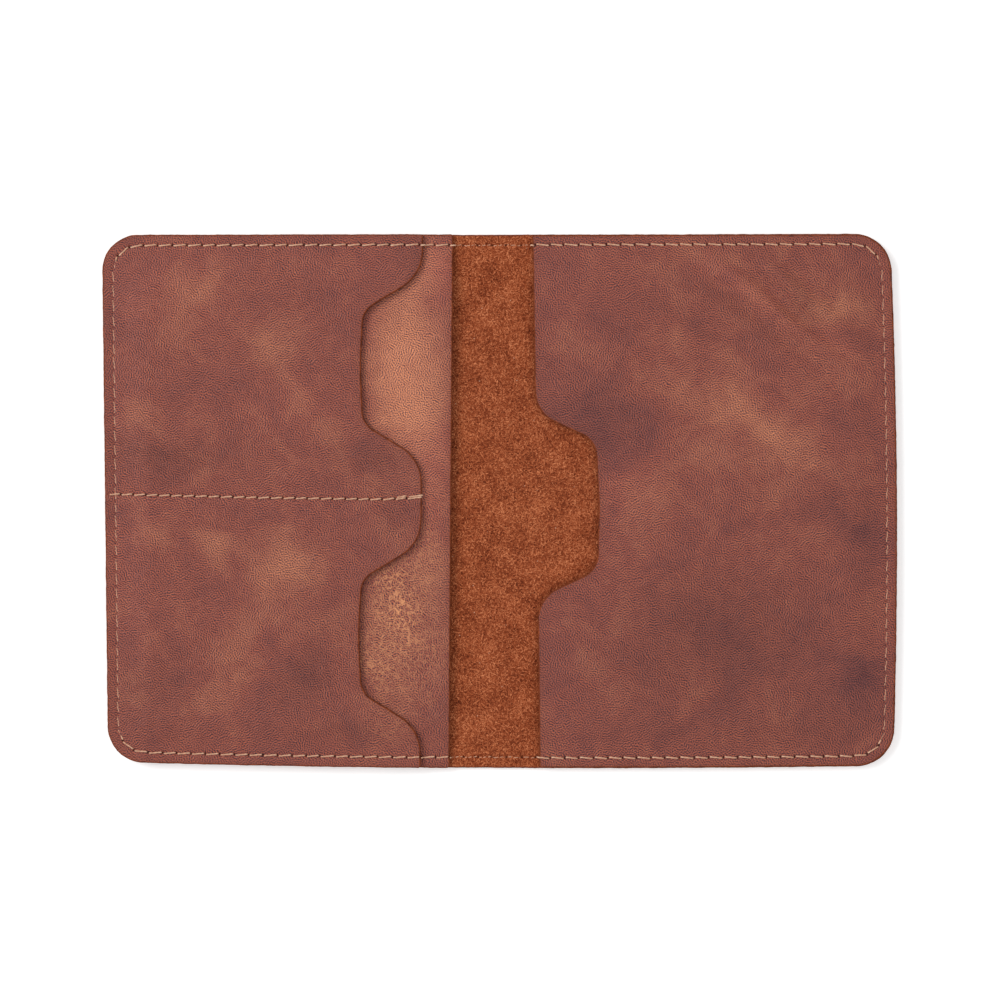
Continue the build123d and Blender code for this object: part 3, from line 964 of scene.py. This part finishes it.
def studio():
    """A camera straight above, a white board, an even white sky and two soft lamps."""
    camera = bpy.data.objects.new("camera", bpy.data.cameras.new("camera"))
    camera.data.lens = LENS
    camera.data.sensor_width = SENSOR
    camera.data.clip_end = CLIP_END
    camera.location = (AIM[0] * MM, AIM[1] * MM, (AIM[2] + VIEW_WIDTH * LENS / SENSOR) * MM)
    bpy.context.scene.collection.objects.link(camera)
    bpy.context.scene.camera = camera

    floor = bpy.data.meshes.new("floor")
    corners = [(FLOOR_REACH * x, FLOOR_REACH * y, 0) for x, y in ((-1, -1), (1, -1), (1, 1), (-1, 1))]
    floor.from_pydata(corners, [], [(0, 1, 2, 3)])
    floor.materials.append(studio_board("matt_white_board"))
    floor = bpy.data.objects.new("floor", floor)
    floor.location.z = -FLOOR_GAP * MM
    bpy.context.scene.collection.objects.link(floor)

    world = bpy.data.worlds.new("studio")
    bpy.context.scene.world = world
    world.use_nodes = True
    background = world.node_tree.nodes["Background"]
    background.inputs["Color"].default_value = (1, 1, 1, 1)
    background.inputs["Strength"].default_value = SKY_STRENGTH
    for name, place, size, power in LAMPS:
        lamp = bpy.data.objects.new(name, bpy.data.lights.new(name, "AREA"))
        lamp.data.size = size
        lamp.data.energy = power
        lamp.location = place
        lamp.rotation_mode = "QUATERNION"
        lamp.rotation_quaternion = Vector(place).to_track_quat("Z", "Y")
        bpy.context.scene.collection.objects.link(lamp)
    bpy.context.scene.view_settings.view_transform = "Standard"


studio()

# Finishes ---------------------------------------------------------------------------------------

NET = [(0.0, "763a3a"), (1.0, "e08c62"), (0.5, "b45e46")]
PEBBLES = [(0.0, "2e2028"), (1.0, "644042"), (0.5, "462a32")]
LIGHT_CREASE = "e49a6c"
pocket_hide = waxed_pull_up_hide("waxed_pull_up_pocket_hide", WRINKLE_WIDTH, NET, PEBBLES, LIGHT_CREASE,
                                 lean=0.95, seed_shift=0.0)
outer_hide = waxed_pull_up_hide("waxed_pull_up_outer_hide", WRINKLE_WIDTH * OUTER_COARSER, NET, PEBBLES,
                                LIGHT_CREASE, lean=0.4, seed_shift=310.0)
suede = brushed_suede("brushed_suede")
cut_edge = raw_cut_edge("raw_cut_edge")
sand_thread = twisted_polyester("sand_polyester_thread")

# Where the wax has drawn back (tan), where it lies thick (dark), and where handling cracked it
# (crackle). On the sleeve and the flap, dark also carries painted light and painted shade. Each
# place is x, y, length, width, turn in degrees and strength, and a strength below zero does the
# opposite.
CARD_TAN = [
    (-79, 57, 9, 5, 20, 0.19), (-81, 47, 7, 5, 0, 0.14), (-58, 39, 12, 5, -10, 0.17),
    (-94, 22, 5, 4, 0, 0.19), (-45, 17, 14, 3, -55, 0.15), (-74, -13, 5, 4, 0, 0.28),
    (-54, -16, 5, 6, 30, 0.31), (-65, -32, 18, 4, 60, 0.22), (-74, -48, 10, 4, 55, 0.12),
    (-92, -8, 8, 4, 0, 0.15), (-23, -12, 4, 7, 0, 0.19), (-60, -22, 9, 6, 30, 0.12),
]
CARD_DARK = [
    (-90, 13, 16, 5, 0, 0.5), (-32, 11, 9, 5, 0, 0.5), (-28, -3, 6, 5, 0, 0.4),
    (-52, -47, 9, 6, 20, 0.45), (-93, -52, 12, 9, 40, 0.3), (-85, 55, 20, 10, 0, -0.15),
    (-55, 25, 16, 8, 0, -0.15), (-45, -38, 5, 12, 0, 0.2), (-22, 62, 5, 6, 0, 0.35),
    (-40, -60, 8, 5, 0, 0.3),
]
CARD_CRACKLE = [(-27, -58, 8, 8, 0, 0.3)]
SLEEVE_TAN = [
    (-26, 38, 9, 22, 0, 0.55), (-20, 22, 6, 9, 0, 0.4), (-27, -35, 8, 18, 0, 0.28),
    (-18, -15, 5, 12, 0, 0.25), (-18, 60, 6, 8, 0, 0.2),
]
# Painted light: every spot here lightens, to paint light over the sleeve where the card panel's lip casts
# its shadow.
SLEEVE_PAINTED_LIGHT = [(-25, 36, 12, 22, 0, -0.55), (-19, 5, 6, 16, 0, -0.6), (-18, 62, 6, 8, 0, -0.65)]
SLEEVE_CRACKLE = [
    (-26, -32, 10, 20, 0, 0.75), (-24, -27, 3, 4, 20, 0.7), (-30, -20, 4, 2.5, 0, 0.5),
    (-31, -45, 3, 3, 0, 0.5), (-27, 30, 7, 12, 0, 0.2), (-19, -10, 5, 8, 0, 0.25),
]
FLAP_TAN = [
    (60, 25, 15, 8, -25, 0.28), (72, 17, 14, 6, -30, 0.24), (90, 50, 11, 4, -20, 0.36),
    (64, 58, 26, 3, -33, 0.16), (35, 3, 10, 6, 0, 0.16), (25, -45, 5, 4, 0, 0.16),
    (45, 42, 10, 5, -20, 0.12), (55, 12, 10, 5, 0, 0.16), (26, 20, 14, 9, -10, -0.3),
    (92, -8, 10, 4, -15, -0.25), (95, -47, 8, 7, 0, -0.3), (65, -40, 24, 16, 0, -0.1),
]
# Painted light and shade: the six narrow bands near the top outer corner paint shade into the folds' hollows
# and highlights onto their ridges, and the broad dark spots low on the flap paint the shade of light falling
# off towards the lower right.
FLAP_DARK_AND_PAINTED_LIGHT = [
    (55, -38, 30, 18, 10, 0.45), (85, -60, 20, 9, 0, 0.25), (28, 22, 12, 8, 0, 0.15),
    (33, 5, 8, 10, 0, -0.25), (65, 26, 20, 10, -20, -0.1), (90, 0, 14, 9, 0, 0.2),
    (50, -25, 20, 8, 0, 0.15), (66, 54, 14, 2.4, -36, -0.4), (88, 42, 11, 2.6, -62, -0.3),
    (60, 50, 15, 2.6, -36, 0.3), (83, 50, 7, 2.4, -50, 0.35), (75, 58, 13, 2.2, -38, 0.2),
    (50, 47, 16, 1.5, -35, 0.2),
]
FLAP_CRACKLE = [(80, 50, 12, 8, 0, 0.15)]
OUTER_TAN = [
    (0, 20, 2.2, 60, 0, 0.5), (2, -30, 1.6, 45, 0, 0.4), (-60, 30, 22, 12, 20, 0.3),
    (55, -25, 20, 14, 60, 0.3), (70, 40, 12, 20, 10, 0.25), (-40, -45, 25, 9, -20, 0.3),
]
OUTER_DARK = [
    (-70, -20, 25, 16, 0, 0.35), (40, 20, 22, 18, 0, 0.3), (0, 0, 5, 90, 0, -0.15),
    (80, -45, 14, 14, 0, 0.25),
]
OUTER_CRACKLE = [(0, 0, 4.5, 75, 0, 0.6), (-85, 55, 12, 8, 30, 0.3), (85, -50, 12, 10, 0, 0.3)]


def tones_of(tan, dark, crackle, seed):
    """A piece's tones, painted light and shade among them on the sleeve and the flap, each with the
    seed of its spots' outlines.
    """
    return {"tan": (tan, seed), "dark": (dark, seed + 4), "crackle": (crackle, seed + 8)}


# The seams' holes -------------------------------------------------------------------------------

seam = {side: seam_line(side) for side in (-1, 1)}
edge_holes = {side: needle_holes(seam[side], EDGE_PITCH, 40 + side) for side in (-1, 1)}
# The divider bows a little upwards towards the outer edge, as it was sewn by eye.
divider_line = np.array([
    [-HALF_WIDTH + DIVIDER_START, 1.7], [-62.9, 0.75], [-31.4, 0.3], [CARD_MOUTH - DIVIDER_END, 0.72],
])
divider_holes = needle_holes(divider_line, DIVIDER_PITCH, 44, phase=0.0)
divider_holes = np.vstack([divider_holes, divider_line[-1:] + [WRAP_STITCH]])

# Leather pieces ---------------------------------------------------------------------------------

cover = {}
for side, name, nodes in (
    (-1, "outer_cover_left", ["cover_left_half", "cover_spine"]),
    (1, "outer_cover_right", ["cover_right_half"]),
):
    outer = side * HALF_WIDTH
    ring = [(outer, HALF_HEIGHT, CORNER_R), (outer, -HALF_HEIGHT, CORNER_R),
            (0, -HALF_HEIGHT, 0), (0, HALF_HEIGHT, 0)]
    cover[side] = hide_piece(
        name, rounded(ring if side < 0 else ring[::-1]), cover_top, ground,
        [suede, outer_hide, cut_edge], holes=edge_holes[side], lines=[seam[side]],
        tones=tones_of(OUTER_TAN, OUTER_DARK, OUTER_CRACKLE, 71), seed=60 + side, furrow=(1, 1))
    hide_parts(*nodes)


def pocket(name, node, ring, top, body, under_it, **how):
    """A sewn pocket panel on its own half of the cover."""
    def under(x, y):
        return top(x, y) - LEATHER

    piece = hide_piece(name, ring, top, under, [pocket_hide, suede, cut_edge], **how)
    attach(piece, body)
    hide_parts(node)


sleeve_ring = panel_outline(SLEEVE_MOUTH, -1, lean=SLEEVE_LEAN)
card_ring = panel_outline(CARD_MOUTH, -1, CARD_NOTCHES, CARD_LIP_R, CARD_LEAN)
flap_ring = panel_outline(FLAP_MOUTH, 1, FLAP_NOTCHES, FLAP_LIP_R, FLAP_LEAN, FLAP_TRIM)
pocket("sleeve_leather", "passport_sleeve", sleeve_ring, sleeve_top, "left_half", "outer_cover_left",
       holes=edge_holes[-1], lines=[seam[-1]],
       tones=tones_of(SLEEVE_TAN, SLEEVE_PAINTED_LIGHT, SLEEVE_CRACKLE, 11), seed=2)
pocket("card_leather", "card_panel", card_ring, card_top, "left_half", "sleeve_leather",
       holes=np.vstack([edge_holes[-1], divider_holes]), lines=[seam[-1], divider_line],
       tones=tones_of(CARD_TAN, CARD_DARK, CARD_CRACKLE, 31), seed=4)
pocket("flap_leather", "passport_flap", flap_ring, flap_top, "right_half", "outer_cover_right",
       holes=edge_holes[1], lines=[seam[1]],
       tones=tones_of(FLAP_TAN, FLAP_DARK_AND_PAINTED_LIGHT, FLAP_CRACKLE, 51), seed=6)

# Stitching --------------------------------------------------------------------------------------


def upper_surface(x, y):
    """The height of the uppermost leather along the seams."""
    v = y / HALF_HEIGHT
    height = np.where(x > FLAP_MOUTH + FLAP_LEAN * v, flap_top(x, y), cover_top(x, y) - NAP_SINK)
    height = np.where(x < SLEEVE_MOUTH + SLEEVE_LEAN * v, sleeve_top(x, y), height)
    height = np.where(x < CARD_MOUTH + CARD_LEAN * v, card_top(x, y), height)
    return height - FURROW_DEPTH - SIDE_SINK * down_a_side(x)


def outer_surface(x, y):
    return ground(x, y) + FURROW_DEPTH


def sleeve_underside(x, y):
    return sleeve_top(x, y) - LEATHER


def stitches(holes, surface, up, slant):
    """The middle lines of a row of stitches. up is 1 above the leather and -1 below it."""
    return [stitch_points(a, b, surface, up, slant) for a, b in zip(holes, holes[1:])]


# The left half's thread also makes the two stitches that cross the middle line.
middle_stitches = [np.array([edge_holes[1][k], edge_holes[-1][k]]) for k in (0, -1)]
for side, half in ((-1, "left"), (1, "right")):
    for kind, surface, up, slant in (
        ("needle", upper_surface, 1, side * STITCH_SLANT),
        ("bobbin", outer_surface, -1, -side * STITCH_SLANT),
    ):
        runs = stitches(edge_holes[side], surface, up, slant)
        for pair in middle_stitches if side < 0 else []:
            runs += stitches(pair, surface, up, slant)
        piece = thread_piece(f"edge_{kind}_stitches_{half}", runs, sand_thread, 90 + side)
        replaced = [f"edge_{kind}_thread_{half}"] + ([f"edge_{kind}_thread_spine"] if side < 0 else [])
        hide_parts(*replaced)
        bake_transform(piece)

def card_surface(x, y):
    """The card panel's top, held level past its mouth for the stitch that wraps over it."""
    return card_top(np.minimum(x, CARD_MOUTH - 0.2), y) - FURROW_DEPTH


back_holes = divider_holes[divider_holes[:, 0] > CARD_MOUTH - BACK_TACK] + BACK_TACK_SHIFT
runs = stitches(divider_holes, card_surface, 1, -STITCH_SLANT)
runs += stitches(back_holes, card_surface, 1, -STITCH_SLANT)
piece = thread_piece("divider_needle_stitches", runs, sand_thread, 95)
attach(piece, "left_half")
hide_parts("divider_needle_thread")
runs = stitches(divider_holes[:-1], sleeve_underside, -1, STITCH_SLANT)
piece = thread_piece("divider_bobbin_stitches", runs, sand_thread, 96)
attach(piece, "left_half")
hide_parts("divider_bobbin_thread")

for side, half in ((-1, "left"), (1, "right")):
    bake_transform(cover[side])
